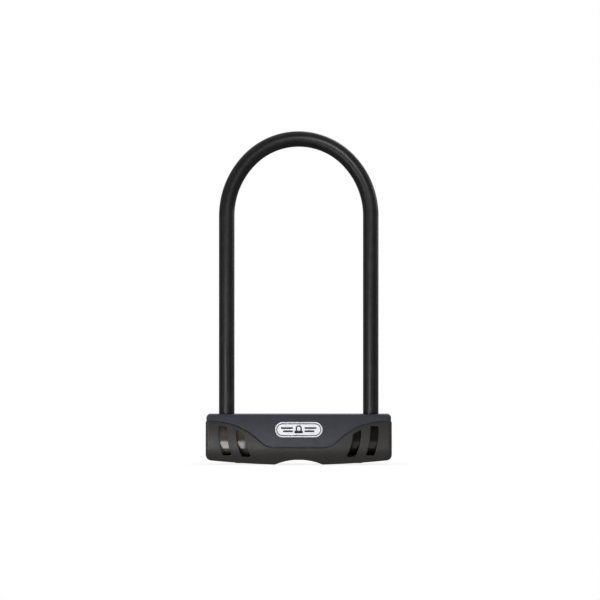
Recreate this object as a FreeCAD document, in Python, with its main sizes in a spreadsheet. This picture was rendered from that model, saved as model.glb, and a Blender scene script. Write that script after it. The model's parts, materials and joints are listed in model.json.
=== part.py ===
"""U-lock: a bent, vinyl-sleeved steel shackle whose two feet drop into a crossbar.

The crossbar is an oval steel case inside two plastic covers. A wafer cylinder stands upright in
its middle. Turning the cylinder a quarter turn swings a spiral cam, and the cam pushes two bolts
outwards into notches in the shackle's feet.

Frame, in millimetres: X runs along the crossbar, -Y is the front, +Z points at the shackle's
crown. The origin is the middle of the crossbar at its lowest level. At rest the shackle is home
and the bolts are drawn back, so the lock is closed but not locked.
"""

import FreeCAD, Part
import math
import os
import re
import Sketcher

Vector = FreeCAD.Vector

SIZES = [
    # shackle
    ("bar_radius", 6.0, "bare shackle bar"),
    ("sleeve_radius", 6.7, "outside of the vinyl sleeve"),
    ("leg_pitch", 124.0, "between the axes of the two legs"),
    ("inner_height", 230.0, "crossbar's top to the underside of the crown"),
    ("crown_radius", 59.0, "centreline bend in the middle of the crown"),
    ("shoulder_radius", 69.0, "centreline bend between the crown and each leg"),
    ("foot_low", 14.0, "level of the end of each foot"),
    ("foot_chamfer", 1.6, "lead-in on the end of each foot"),
    ("sleeve_low", 43.6, "level where the sleeve starts"),
    ("sleeve_gap", 0.02, "clearance between the bar and its sleeve"),
    ("sleeve_lip", 0.3, "rounding of the sleeve's ends"),
    ("notch_low", 28.8, "bottom of each bolt notch"),
    ("notch_high", 37.5, "top of each bolt notch"),
    ("notch_depth", 4.8, "depth of each notch into the bar"),
    # covers
    ("cover_length", 159.6, "lower cover, end to end"),
    ("cover_depth", 34.0, "lower cover, front to back"),
    ("cover_top", 43.2, "level of the upper cover's top face"),
    ("upper_inset", 0.55, "how far the upper cover stands inside the lower one"),
    ("bulge_level", 16.5, "level where the front and back are proudest"),
    ("bulge_low_radius", 30.0, "cross-section below that level"),
    ("bulge_high_radius", 110.0, "cross-section above that level"),
    ("top_corner", 2.9, "top corners seen from the front"),
    ("bottom_corner", 5.0, "bottom corners seen from the front"),
    ("edge_round", 2.5, "rounding round the front and back"),
    ("rim_round", 0.5, "rounding along the seam and the windows"),
    ("belly_radius", 725.0, "underside, bowed down towards the middle"),
    ("arch_radius", 51.0, "key arch in the underside"),
    ("arch_rise", 4.3, "height of the key arch"),
    ("arch_flare", 2.4, "widening of the key arch at front and back"),
    ("arch_flare_depth", 2.9, "how deep that widening starts from the face"),
    ("wave_low", 14.6, "seam level in the middle"),
    ("wave_high", 37.0, "seam level at the ends"),
    ("wave_start", 20.6, "where the seam leaves its low level"),
    ("wave_low_radius", 18.0, "seam's lower bend"),
    ("wave_high_radius", 57.5, "seam's upper bend"),
    ("seam_gap", 0.45, "gap between the covers along the seam"),
    ("lap_depth", 2.0, "how far the upper cover's lap tucks below the seam"),
    ("lap_skin", 1.25, "lower cover's skin in front of the lap"),
    ("lap_gap", 0.1, "clearance round the lap"),
    ("skin", 2.1, "thickness of the covers"),
    ("arch_floor", 6.4, "inside floor above the key arch"),
    ("arch_floor_half", 24.0, "half-length of that floor"),
    ("window_centre", 30.0, "level of the centre that all window arcs share"),
    ("window_a_in", 46.9, "inner window's small radius"),
    ("window_a_out", 53.6, "inner window's large radius"),
    ("window_a_low", 6.9, "inner window's bottom"),
    ("window_a_high_in", 26.2, "inner window's top at its small radius"),
    ("window_a_high_out", 30.2, "inner window's top at its large radius"),
    ("window_b_in", 61.6, "outer window's small radius"),
    ("window_b_out", 68.4, "outer window's large radius"),
    ("window_b_low", 8.1, "outer window's bottom"),
    ("window_b_high", 33.1, "outer window's top"),
    ("window_corner", 0.9, "window corners"),
    ("rib_width", 1.6, "ribs inside the covers"),
    ("rib_gap", 0.15, "clearance between the ribs and the case"),
    ("low_rib_top", 13.0, "top of the lower cover's ribs"),
    ("high_rib_low", 35.5, "bottom of the upper cover's ribs"),
    ("rib_a", 30.0, "lower cover's first rib from the middle"),
    ("rib_b", 55.7, "lower cover's second rib"),
    ("rib_c", 72.0, "lower cover's third rib"),
    ("rib_d", 22.0, "upper cover's first rib"),
    ("rib_e", 46.0, "upper cover's second rib"),
    ("screw_x", 50.0, "cover screws, from the middle"),
    ("screw_head", 2.2, "level of the face of each cover screw"),
    ("screw_length", 12.0, "cover screw, head included"),
    ("screw_radius", 1.5, "cover screw's shank"),
    ("screw_head_radius", 2.9, "cover screw's head"),
    ("screw_land", 0.4, "cover screw head's straight rim"),
    ("screw_point", 0.6, "chamfer on a cover screw's end"),
    ("screw_drive", 1.15, "hexagon socket, centre to corner"),
    ("screw_drive_depth", 1.3, "hexagon socket"),
    ("screw_gap", 0.2, "clearance round the cover screws"),
    ("screw_room", 0.5, "how much deeper the threads run than the cover screws"),
    ("boss_radius", 4.6, "cover bosses round the screws"),
    ("boss_low", 1.0, "level where the bosses start, within the skin"),
    # badge
    ("badge_length", 40.5, "badge, end to end"),
    ("badge_height", 13.0, "badge, bottom to top"),
    ("badge_corner", 6.45, "badge's corners"),
    ("badge_level", 30.2, "level of the badge's middle"),
    ("badge_proud", 0.35, "how far the badge's rim stands out"),
    ("badge_sunk", 0.8, "how deep the badge sits in the cover"),
    ("badge_rim", 0.9, "width of the badge's rim"),
    ("badge_field", 0.3, "depth of the badge's field below its rim"),
    ("badge_chamfer", 0.12, "edges of the badge's rim"),
    ("badge_gap", 0.05, "clearance round the badge"),
    ("badge_back_gap", 0.02, "clearance behind the badge"),
    # steel case
    ("case_radius", 14.0, "rounded top and bottom of the oval case"),
    ("case_low", 7.0, "underside of the case"),
    ("case_high", 41.0, "top of the case"),
    ("case_wall", 2.5, "case wall"),
    ("case_length", 151.0, "case, end to end"),
    ("fill_gap", 0.1, "clearance of the blocks inside the case"),
    ("plug_gap", 0.05, "clearance of the end plugs"),
    ("plug_chamfer", 0.5, "outer rim of the end plugs"),
    ("pin_chamfer", 0.3, "ends of the cross pins"),
    ("leg_hole_radius", 6.25, "holes for the feet"),
    ("plug_thick", 3.0, "end plugs"),
    ("socket_inner", 44.5, "socket block's inner face, from the middle"),
    ("socket_floor", 13.5, "level of the socket's floor"),
    ("socket_pin_x", 70.4, "socket pins, from the middle"),
    ("socket_pin_level", 24.0, "level of the socket pins"),
    ("socket_pin_radius", 1.5, "socket pins"),
    ("socket_pin_sunk", 0.1, "how far the socket pins' ends stand back from the case's faces"),
    ("seal_radius", 7.0, "leg seals"),
    ("seal_bore", 6.1, "bore of the leg seals"),
    ("seal_low", 41.15, "underside of the leg seals"),
    ("seal_high", 43.5, "top lip of the leg seals"),
    ("seal_lip", 0.3, "rounding of the seals' top"),
    ("seal_gap", 0.03, "clearance of the seals in the upper cover"),
    # bolts
    ("bolt_width", 10.0, "bolts, front to back"),
    ("bolt_low", 29.3, "underside of the bolts"),
    ("bolt_high", 37.0, "top of the bolts"),
    ("bolt_inner", 1.6, "bolt's inner end, from the middle, drawn back"),
    ("bolt_tip", 55.4, "bolt's tip, from the middle, drawn back"),
    ("bolt_nose", 0.8, "chamfer on the bolt's tip"),
    ("bolt_gap", 0.1, "clearance round the bolts in their channels"),
    ("bolt_travel", 5.0, "how far each bolt slides"),
    ("peg_radius", 1.3, "drive pegs"),
    ("peg_low", 27.3, "underside of the drive pegs"),
    ("peg_high", 34.0, "top of the drive pegs"),
    ("peg_start", 4.2, "drive peg's distance from the axis, drawn back"),
    ("peg_chamfer", 0.2, "lower end of the drive pegs"),
    # mechanism block
    ("block_half", 20.0, "half-length of the mechanism block"),
    ("barrel_gap", 0.05, "clearance of the barrel in the block"),
    ("cam_bay_half", 11.4, "half-length of the space that the cam turns in"),
    ("cam_bay_gap", 0.15, "clearance above the cam"),
    # wafer cylinder
    ("barrel_radius", 8.5, "barrel"),
    ("barrel_high", 24.0, "top of the barrel"),
    ("nose_radius", 8.0, "barrel's nose in the key arch"),
    ("nose_low", 3.9, "face of the barrel's nose"),
    ("nose_high", 6.6, "where the nose steps out to the barrel"),
    ("nose_gap", 0.2, "clearance of the nose in the lower cover"),
    ("nose_chamfer", 0.3, "edge of the barrel's nose and of the core's face"),
    ("bore_radius", 6.3, "barrel's bore"),
    ("core_radius", 6.25, "core"),
    ("core_head_radius", 6.85, "core's head"),
    ("core_head_gap", 0.05, "clearance of the core's head"),
    ("core_low", 4.1, "face of the core"),
    ("core_step", 5.5, "top of the core's head"),
    ("core_high", 24.0, "top of the core's round part"),
    ("groove_radius", 7.3, "wafer grooves in the bore"),
    ("groove_width", 5.4, "wafer grooves"),
    ("groove_low", 7.3, "bottom of the wafer grooves"),
    ("keyway_width", 2.3, "keyway"),
    ("keyway_height", 8.6, "keyway's long side"),
    ("keyway_ward", 0.75, "how far the keyway's wards reach in"),
    ("ward_half", 1.05, "half-width of a ward at its foot"),
    ("ward_tip_half", 0.55, "half-width of a ward at its tip"),
    ("ward_right", -0.85, "place of the right ward along the keyway"),
    ("ward_left", 1.35, "place of the left ward along the keyway"),
    ("keyway_high", 22.6, "end of the keyway"),
    ("wafer_count", 7, "wafers"),
    ("wafer_first", 8.4, "level of the first wafer's middle"),
    ("wafer_pitch", 2.1, "between wafers"),
    ("wafer_thick", 1.1, "wafers"),
    ("wafer_width", 5.0, "wafers, across their travel"),
    ("wafer_radius", 6.2, "wafer's rounded ends"),
    ("wafer_travel", 1.0, "how far a wafer springs out"),
    ("wafer_gap", 0.08, "clearance round the wafers in the core"),
    ("wafer_eye_width", 2.7, "key opening in the wafers"),
    ("wafer_eye_height", 7.4, "key opening's long side"),
    ("wafer_eye_corner", 0.5, "key opening's corners"),
    ("lug_reach", 4.2, "spring lug's end, from the axis"),
    ("lug_half", 0.7, "half-width of the spring lug"),
    ("pocket_reach", 4.4, "spring pocket's side, from the axis"),
    ("pocket_back", 3.4, "spring pocket's far end"),
    ("pocket_lap", 0.3, "how far a spring pocket runs into its wafer's slot"),
    ("pocket_room", 0.2, "spare length in front of a lug at the end of its travel"),
    ("spring_radius", 0.42, "wafer spring's coil centreline"),
    ("spring_wire", 0.11, "wafer spring's wire"),
    ("spring_turns", 5, "wafer spring's turns"),
    ("spring_x", 3.42, "wafer spring's axis, from the core's axis"),
    ("tail_side", 6.0, "core's square tail"),
    ("tail_high", 26.4, "top of the tail"),
    ("barrel_pin_x", 9.1, "barrel pins, from the middle"),
    ("barrel_pin_half", 8.6, "half-length of the barrel pins"),
    ("barrel_pin_level", 12.0, "level of the barrel pins"),
    ("barrel_pin_radius", 1.25, "barrel pins"),
    ("drill_pin_radius", 0.75, "hardened pins in the core's face"),
    ("drill_pin_x", 3.6, "hardened pins, from the axis"),
    ("drill_pin_high", 6.4, "top of the hardened pins"),
    ("drill_pin_sunk", 0.1, "how far the hardened pins stand back from the core's face"),
    ("drill_pin_chamfer", 0.15, "ends of the hardened pins"),
    # cam
    ("cam_radius", 11.1, "cam plate"),
    ("cam_low", 26.6, "underside of the cam plate"),
    ("cam_high", 29.0, "top of the cam plate"),
    ("hub_radius", 7.5, "cam's hub"),
    ("hub_low", 24.1, "underside of the hub"),
    ("tail_gap", 0.03, "clearance of the tail in the hub"),
    ("groove_floor", 27.1, "floor of the spiral grooves"),
    ("groove_play", 0.1, "clearance of a peg in its groove"),
    ("cam_screw_radius", 1.25, "cam screw's shank"),
    ("cam_screw_head", 2.35, "cam screw's head"),
    ("cam_screw_low", 23.7, "end of the cam screw"),
    ("cam_screw_room", 0.3, "how much deeper the thread runs than the cam screw"),
    ("cam_screw_point", 0.4, "chamfer on the cam screw's end"),
    ("cam_screw_gap", 0.1, "clearance round the cam screw"),
    ("cam_screw_drive", 0.85, "cam screw's hexagon socket, centre to corner"),
    ("cam_screw_drive_depth", 0.8, "cam screw's hexagon socket"),
    # tools
    ("past", 1.0, "how far a cut reaches past the face it starts from"),
]
ALIASES = {alias for alias, _, _ in SIZES}

SIDES = (("-1", "left"), ("1", "right"))

# How far each wafer's key opening is shifted from its middle, in millimetres.
WAFER_CODE = (-0.4, 0.2, 0.0, 0.4, -0.2, 0.2, -0.4)

doc = FreeCAD.newDocument("u_lock")
sheet = doc.addObject("Spreadsheet::Sheet", "dims")
nodes = []


def fill_sheet():
    """One row for each driving size: its name, its number and what it measures."""
    for row, (alias, number, note) in enumerate(SIZES, 1):
        sheet.set(f"A{row}", alias)
        sheet.set(f"B{row}", str(number))
        sheet.set(f"C{row}", note)
        sheet.setAlias(f"B{row}", alias)
    doc.recompute()


def bound(formula):
    """The formula with each size name turned into a reference to its cell."""
    swap = lambda m: "dims." + m.group() if m.group() in ALIASES else m.group()
    return re.sub(r"[a-z][a-z_0-9]*", swap, str(formula))


def value(formula):
    """The formula's number now."""
    return float(sheet.evalExpression(bound(formula)))


def drive(thing, prop, formula):
    """Binds a property to a formula of the sheet's sizes."""
    thing.setExpression(prop, bound(formula))


# ---- sketches -------------------------------------------------------------------------------


def negate(formula):
    return f"-({formula})"


def new_body(name):
    return doc.addObject("PartDesign::Body", name)


def new_sketch(body, name, plane, offset="0"):
    """A sketch on one of the body's origin planes, moved along the plane's normal."""
    sketch = body.newObject("Sketcher::SketchObject", name)
    features = body.Origin.OriginFeatures
    sketch.AttachmentSupport = [(next(f for f in features if f.Role == plane + "_Plane"), "")]
    sketch.MapMode = "FlatFace"
    drive(sketch, "AttachmentOffset.Base.z", offset)
    return sketch


def pin_point(sketch, geometry, end, x, y):
    """Holds one point of the sketch at the two formulas, measured from the origin."""
    for kind, formula in (("DistanceX", x), ("DistanceY", y)):
        made = Sketcher.Constraint(kind, -1, 1, geometry, end, value(formula))
        index = sketch.addConstraint(made)
        drive(sketch, f"Constraints[{index}]", formula)


def set_radius(sketch, geometry, formula):
    index = sketch.addConstraint(Sketcher.Constraint("Radius", geometry, value(formula)))
    drive(sketch, f"Constraints[{index}]", formula)


def circle(x, y, radius):
    def draw(sketch):
        start = Part.Circle(Vector(value(x), value(y)), Vector(0, 0, 1), value(radius))
        made = sketch.addGeometry(start, False)
        pin_point(sketch, made, 3, x, y)
        set_radius(sketch, made, radius)

    return draw


def arc_between(start, end, radius, side):
    """The short arc from start to end. Side +1 has its centre on the left, -1 on the right."""
    chord = end - start
    rise = math.sqrt(radius**2 - chord.Length**2 / 4)
    left = Vector(-chord.y, chord.x).normalize()
    centre = (start + end) / 2 + left * rise * side
    first, last = (start, end) if side > 0 else (end, start)
    angles = [math.atan2(p.y - centre.y, p.x - centre.x) for p in (first, last)]
    return Part.ArcOfCircle(Part.Circle(centre, Vector(0, 0, 1), radius), *angles)


def loop(*corners, closed=True):
    """An outline through the corners. A corner with a radius and a side starts an arc."""

    def draw(sketch):
        spots = [Vector(value(c[0]), value(c[1])) for c in corners]
        count = len(corners) if closed else len(corners) - 1
        made = []
        for i in range(count):
            start, end = spots[i], spots[(i + 1) % len(spots)]
            if len(corners[i]) == 4:
                side = corners[i][3]
                arc = arc_between(start, end, value(corners[i][2]), side)
                made.append((sketch.addGeometry(arc, False), 1 if side > 0 else 2))
            else:
                made.append((sketch.addGeometry(Part.LineSegment(start, end), False), 1))
        for i, (geometry, first) in enumerate(made):
            if i or closed:
                before, before_first = made[i - 1]
                joined = Sketcher.Constraint("Coincident", before, 3 - before_first, geometry, first)
                sketch.addConstraint(joined)
            pin_point(sketch, geometry, first, corners[i][0], corners[i][1])
        if not closed:
            geometry, first = made[-1]
            pin_point(sketch, geometry, 3 - first, corners[-1][0], corners[-1][1])
        for i, (geometry, _) in enumerate(made):
            if len(corners[i]) == 4:
                set_radius(sketch, geometry, corners[i][2])

    return draw


def box(x_low, y_low, x_high, y_high):
    return loop((x_low, y_low), (x_high, y_low), (x_high, y_high), (x_low, y_high))


def reverse(path):
    """The same open path walked the other way."""
    turned = []
    for i in range(len(path) - 1, -1, -1):
        bend = path[i - 1][2:] if i else ()
        turned.append((*path[i][:2], *((bend[0], -bend[1]) if bend else ())))
    return turned


def mirror(path):
    """The path reflected left to right, walked the other way, so that its bends keep their side."""
    flipped = [(negate(c[0]), c[1], *((c[2], -c[3]) if len(c) == 4 else ())) for c in path]
    return reverse(flipped)


def rounded_box(half_width, y_low, y_high, corner):
    """A rectangle centred on the sketch's upright axis, with four round corners."""
    inner = f"{half_width} - ({corner})"
    right = [
        (inner, y_low, corner, 1),
        (half_width, f"{y_low} + {corner}"),
        (half_width, f"{y_high} - ({corner})", corner, 1),
        (inner, y_high),
    ]
    return loop(*right, *mirror(right))


def oval(inset):
    """The case's oval, shrunk by inset: two half circles joined by straight sides."""

    def draw(sketch):
        radius = f"case_radius - ({inset})"
        low, high = "case_low + case_radius", "case_high - case_radius"
        r, z0, z1 = value(radius), value(low), value(high)
        up = Vector(0, 0, 1)
        arcs = [
            Part.ArcOfCircle(Part.Circle(Vector(0, z0), up, r), math.pi, 2 * math.pi),
            Part.ArcOfCircle(Part.Circle(Vector(0, z1), up, r), 0, math.pi),
        ]
        sides = [
            Part.LineSegment(Vector(r, z0), Vector(r, z1)),
            Part.LineSegment(Vector(-r, z1), Vector(-r, z0)),
        ]
        bottom, top, right, left = (sketch.addGeometry(g, False) for g in arcs + sides)
        for one, end_one, two, end_two in (
            (bottom, 2, right, 1),
            (right, 2, top, 1),
            (top, 2, left, 1),
            (left, 2, bottom, 1),
        ):
            sketch.addConstraint(Sketcher.Constraint("Tangent", one, end_one, two, end_two))
        pin_point(sketch, bottom, 3, "0", low)
        pin_point(sketch, top, 3, "0", high)
        set_radius(sketch, bottom, radius)

    return draw


# ---- features -------------------------------------------------------------------------------


def tip_shape(body):
    doc.recompute()
    return body.Tip.Shape


def extrude(body, plane, low, high, *loops, pocket=False):
    """Pads or pockets the loops from the low to the high level along the plane's axis."""
    before = tip_shape(body).Volume if body.Tip else 0.0
    sign = "-1" if plane == "XZ" else "1"
    middle = f"{sign} * (({low}) + ({high})) / 2"
    count = len(body.Group)
    sketch = new_sketch(body, f"{body.Name}_outline_{count}", plane, middle)
    for draw in loops:
        draw(sketch)
    kind = "Pocket" if pocket else "Pad"
    feature = body.newObject(f"PartDesign::{kind}", f"{body.Name}_{kind.lower()}_{count}")
    feature.Profile = sketch
    feature.SideType = "Symmetric"
    drive(feature, "Length", f"({high}) - ({low})")
    after = tip_shape(body).Volume
    gained = before - after if pocket else after - before
    if gained <= 0:
        raise ValueError(f"{feature.Name} changed nothing: {before:.1f} to {after:.1f} mm3")
    return feature


def cut(body, plane, low, high, *loops):
    return extrude(body, plane, low, high, *loops, pocket=True)


def turn(body, *loops, groove=False):
    """Turns outlines drawn right of the upright axis in the XZ plane about that axis."""
    count = len(body.Group)
    sketch = new_sketch(body, f"{body.Name}_profile_{count}", "XZ")
    for draw in loops:
        draw(sketch)
    kind = "Groove" if groove else "Revolution"
    feature = body.newObject(f"PartDesign::{kind}", f"{body.Name}_{kind.lower()}_{count}")
    feature.Profile = sketch
    feature.ReferenceAxis = (sketch, ["V_Axis"])
    feature.Angle = 360
    doc.recompute()
    return feature


def edge_names(shape, wanted):
    return [f"Edge{i}" for i, edge in enumerate(shape.Edges, 1) if wanted(edge)]


def soften(body, kind, radius, wanted):
    """Fillets or chamfers the edges of the body so far that the test picks."""
    base = body.Tip
    names = edge_names(tip_shape(body), wanted)
    if not names:
        raise ValueError(f"no edge to {kind.lower()} on {body.Name}")
    feature = body.newObject(f"PartDesign::{kind}", f"{body.Name}_{kind.lower()}")
    feature.Base = (base, names)
    drive(feature, "Radius" if kind == "Fillet" else "Size", radius)
    doc.recompute()
    return feature


def pattern(body, feature, axis_role, count, pitch):
    """Repeats a feature along one of the body's axes."""
    made = body.newObject("PartDesign::LinearPattern", f"{feature.Name}_row")
    made.Originals = [feature]
    axis = next(f for f in body.Origin.OriginFeatures if f.Role == axis_role)
    made.Direction = (axis, [""])
    drive(made, "Occurrences", count)
    drive(made, "Length", f"({pitch}) * (({count}) - 1)")
    body.Tip = made
    doc.recompute()
    return made


def middle_of(edge):
    return edge.valueAt((edge.FirstParameter + edge.LastParameter) / 2)


def direction_of(edge):
    return edge.tangentAt((edge.FirstParameter + edge.LastParameter) / 2)


def combine(kind, name, base, tool):
    made = doc.addObject(f"Part::{kind}", name)
    made.Base = base
    made.Tool = tool
    doc.recompute()
    return made


def fuse(name, *shapes):
    made = doc.addObject("Part::MultiFuse", name)
    made.Shapes = list(shapes)
    doc.recompute()
    return made


def cylinder(name, radius, low, high, x="0", y="0", axis="Z"):
    """A round bar along X, Y or Z from the low to the high level."""
    made = doc.addObject("Part::Cylinder", name)
    drive(made, "Radius", radius)
    drive(made, "Height", f"({high}) - ({low})")
    turns = {"Z": (0, 0, 0), "Y": (0, 0, -90), "X": (0, 90, 0)}
    made.Placement.Rotation = FreeCAD.Rotation(*turns[axis])
    spot = {"Z": (x, y, low), "Y": (x, low, y), "X": (low, x, y)}[axis]
    for letter, formula in zip("xyz", spot):
        drive(made, f"Placement.Base.{letter}", formula)
    return made


def node(thing, name):
    """Names a finished sub-part: its label is its file's name."""
    thing.Label = name
    nodes.append(thing)
    return thing


# ---- covers ---------------------------------------------------------------------------------

SEAM_TURN = "acos(1 - (wave_high - wave_low) / (wave_low_radius + wave_high_radius))"
SEAM_JOIN_X = f"wave_start + wave_low_radius * sin({SEAM_TURN})"
SEAM_JOIN_Z = f"wave_low + wave_low_radius * (1 - cos({SEAM_TURN}))"
SEAM_END_X = f"wave_start + (wave_low_radius + wave_high_radius) * sin({SEAM_TURN})"
ARCH_HALF = "sqrt(arch_radius ^ 2 - (arch_radius - arch_rise) ^ 2)"
BELLY_CENTRE = f"sqrt(belly_radius ^ 2 - ({ARCH_HALF}) ^ 2)"


def seam(shift, half_length):
    """The seam from the left end to the right end: low in the middle, high at both ends."""
    left = [
        (negate(half_length), f"wave_high + ({shift})"),
        (negate(SEAM_END_X), f"wave_high + ({shift})", "wave_high_radius", -1),
        (negate(SEAM_JOIN_X), f"{SEAM_JOIN_Z} + ({shift})", "wave_low_radius", 1),
        ("-wave_start", f"wave_low + ({shift})"),
    ]
    right = [
        ("wave_start", f"wave_low + ({shift})", "wave_low_radius", 1),
        (SEAM_JOIN_X, f"{SEAM_JOIN_Z} + ({shift})", "wave_high_radius", -1),
        (SEAM_END_X, f"wave_high + ({shift})"),
        (half_length, f"wave_high + ({shift})"),
    ]
    return left + right


def round_front_and_back(body, inset):
    """Cuts the front and back to the covers' bulged cross-section, inset by a given amount."""
    below, above = "-3 * past", "cover_top + 3 * past"
    face = f"cover_depth / 2 - ({inset})"
    reach = "cover_depth"

    def depth_at(radius, level):
        bulge = f"sqrt(({radius} - ({inset})) ^ 2 - ({level} - bulge_level) ^ 2)"
        return f"cover_depth / 2 - {radius} + {bulge}"

    waste = [
        (face, "bulge_level", f"bulge_low_radius - ({inset})", -1),
        (depth_at("bulge_low_radius", below), below),
        (reach, below),
        (reach, above),
        (depth_at("bulge_high_radius", above), above, f"bulge_high_radius - ({inset})", -1),
    ]
    other = [(negate(c[0]), c[1], *((c[2], -c[3]) if len(c) == 4 else ())) for c in waste]
    cut(body, "YZ", "-cover_length", "cover_length", loop(*waste), loop(*other))


def cover_block(name, inset, outline):
    """A solid with the given front outline and the covers' cross-section."""
    body = new_body(name)
    extrude(body, "XZ", "-cover_depth", "cover_depth", outline)
    round_front_and_back(body, inset)
    return body


def on_front_outline(edge, keep):
    """Whether an edge runs round the front or the back face, where keep allows it."""
    spot, along = middle_of(edge), direction_of(edge)
    crease = all(abs(v.Z - value("bulge_level")) < 1e-3 for v in edge.Vertexes)
    near_face = abs(spot.y) > value("case_radius") / 2
    return abs(along.y) < 0.9 and near_face and not crease and keep(spot)


def seam_level(x):
    """The seam's level, in numbers, at a distance from the middle."""
    x = abs(x)
    low_radius, high_radius = value("wave_low_radius"), value("wave_high_radius")
    start, join, end = value("wave_start"), value(SEAM_JOIN_X), value(SEAM_END_X)
    if x < start:
        return value("wave_low")
    if x < join:
        return value("wave_low") + low_radius - math.sqrt(low_radius**2 - (x - start) ** 2)
    if x < end:
        return value("wave_high") - high_radius + math.sqrt(high_radius**2 - (end - x) ** 2)
    return value("wave_high")


def on_seam(edge, shift):
    """Whether an edge runs along the seam, rather than across it from front to back."""
    spot = middle_of(edge)
    at_end = abs(spot.x) > value("cover_length") / 2 - 1
    across = abs(direction_of(edge).y) > 0.99 and not at_end
    return not across and abs(spot.z - seam_level(spot.x) - value(shift)) < 0.02


def window_loops(side):
    """The two windows on one side: sectors of rings that share one centre."""

    def at(radius, level):
        reach = f"sqrt({radius} ^ 2 - ({level} - window_centre) ^ 2)"
        return (reach if side > 0 else negate(reach), level)

    def window(r_in, r_out, low, high_in, high_out):
        corners = [
            (*at(r_in, low),),
            (*at(r_out, low), r_out, side),
            (*at(r_out, high_out),),
            (*at(r_in, high_in), r_in, -side),
        ]
        return loop(*corners)

    inner = ("window_a_in", "window_a_out", "window_a_low", "window_a_high_in", "window_a_high_out")
    outer = ("window_b_in", "window_b_out", "window_b_low", "window_b_high", "window_b_high")
    return [window(*inner), window(*outer)]


def in_windows(edge):
    """Whether an edge lies in the ring that holds the windows."""
    spot, slack = middle_of(edge), 0.1
    reach = math.hypot(spot.x, spot.z - value("window_centre"))
    in_ring = value("window_a_in") - slack < reach < value("window_b_out") + slack
    return in_ring and value("window_a_low") - slack < spot.z < value("window_b_high") + slack


def lower_outline():
    """The lower cover from the front: bowed belly, round bottom corners and the seam on top."""
    half = "cover_length / 2"
    corner_x = f"({half} - bottom_corner)"
    inner_reach = f"sqrt((belly_radius - bottom_corner) ^ 2 - {corner_x} ^ 2)"
    corner_z = f"{BELLY_CENTRE} - {inner_reach}"
    grow = "belly_radius / (belly_radius - bottom_corner)"
    touch_x = f"{corner_x} * {grow}"
    touch_z = f"{BELLY_CENTRE} - {inner_reach} * {grow}"
    return loop(
        (negate(touch_x), touch_z, "belly_radius", 1),
        (touch_x, touch_z, "bottom_corner", 1),
        (half, corner_z),
        *reverse(seam("0", half)),
        (negate(half), corner_z, "bottom_corner", 1),
    )


def upper_outline():
    """The upper cover from the front: the seam below, a flat top and small top corners."""
    half = "(cover_length / 2 - upper_inset)"
    inner = f"{half} - top_corner"
    return loop(
        *seam("seam_gap", half),
        (half, "cover_top - top_corner", "top_corner", 1),
        (inner, "cover_top"),
        (negate(inner), "cover_top", "top_corner", 1),
        (negate(half), "cover_top - top_corner"),
    )


def arch_tool():
    """What the key arch removes: a lying cylinder that flares at the front and the back."""
    level = "arch_rise - arch_radius"
    parts = [cylinder("arch_bore", "arch_radius", "-cover_depth", "cover_depth", "0", level, "Y")]
    for name, turned in (("arch_flare_front", 90), ("arch_flare_back", -90)):
        cone = doc.addObject("Part::Cone", name)
        outward = -1 if turned > 0 else 1
        drive(cone, "Radius1", "arch_radius")
        drive(cone, "Radius2", "arch_radius + arch_flare * 2")
        drive(cone, "Height", "arch_flare_depth * 2")
        cone.Placement.Rotation = FreeCAD.Rotation(Vector(1, 0, 0), turned)
        drive(cone, "Placement.Base.y", f"{outward} * (cover_depth / 2 - arch_flare_depth)")
        drive(cone, "Placement.Base.z", level)
        parts.append(cone)
    return fuse("arch_tool", *parts)


def lower_skin():
    """The lower cover's outside as a solid: rounded edges and window openings."""
    body = cover_block("lower_skin", "0", lower_outline())
    flat_seam, seam_end = value("wave_low") - 1, value("wave_high") - 0.1
    near_end = value("cover_length") / 2 - 0.1
    below_seam = lambda p: p.z < flat_seam or (abs(p.x) > near_end and p.z < seam_end)
    soften(body, "Fillet", "edge_round", lambda e: on_front_outline(e, below_seam))
    cut(body, "XZ", "-cover_depth", "cover_depth", *window_loops(1), *window_loops(-1))
    along_depth = lambda e: abs(direction_of(e).y)
    soften(body, "Fillet", "window_corner", lambda e: in_windows(e) and along_depth(e) > 0.999)
    soften(body, "Fillet", "rim_round", lambda e: on_seam(e, "0"))
    soften(body, "Fillet", "rim_round", lambda e: in_windows(e) and along_depth(e) < 0.7)
    return body


def hollow(name, inset):
    """The covers' inside, inset from their outside: a bowed floor, raised over the key arch."""
    half = f"(cover_length / 2 - ({inset}))"
    floor_radius = f"(belly_radius - ({inset}))"

    def floor(x):
        return f"{BELLY_CENTRE} - sqrt({floor_radius} ^ 2 - {x} ^ 2)"

    right = [
        ("arch_floor_half", "arch_floor"),
        ("arch_floor_half", floor("arch_floor_half"), floor_radius, 1),
        (half, floor(half)),
        (half, f"cover_top - ({inset})"),
    ]
    return cover_block(name, inset, loop(*right, *mirror(right)))


def lap_block(name, inset, drop):
    """The region above the lowered seam and inside the skin, for the lap or its clearance."""
    half = f"(cover_length / 2 - ({inset}))"
    top = "cover_top - skin / 2"
    outline = loop(*seam(negate(drop), half), (half, top), (negate(half), top))
    return cover_block(name, inset, outline)


def rib_slabs(name, places, low, high):
    """Flat ribs across the cavity at plus and minus each place."""
    body = new_body(name)
    strips = []
    for place in places:
        for side in ("-1", "1"):
            x = f"{side} * {place}"
            strips.append(box(f"{x} - rib_width / 2", low, f"{x} + rib_width / 2", high))
    extrude(body, "XZ", "-cover_depth / 2 + skin / 2", "cover_depth / 2 - skin / 2", *strips)
    return body


def case_space(name):
    """The case's oval with a little room round it."""
    body = new_body(name)
    extrude(body, "YZ", "-cover_length", "cover_length", oval("-rib_gap"))
    return body


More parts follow.
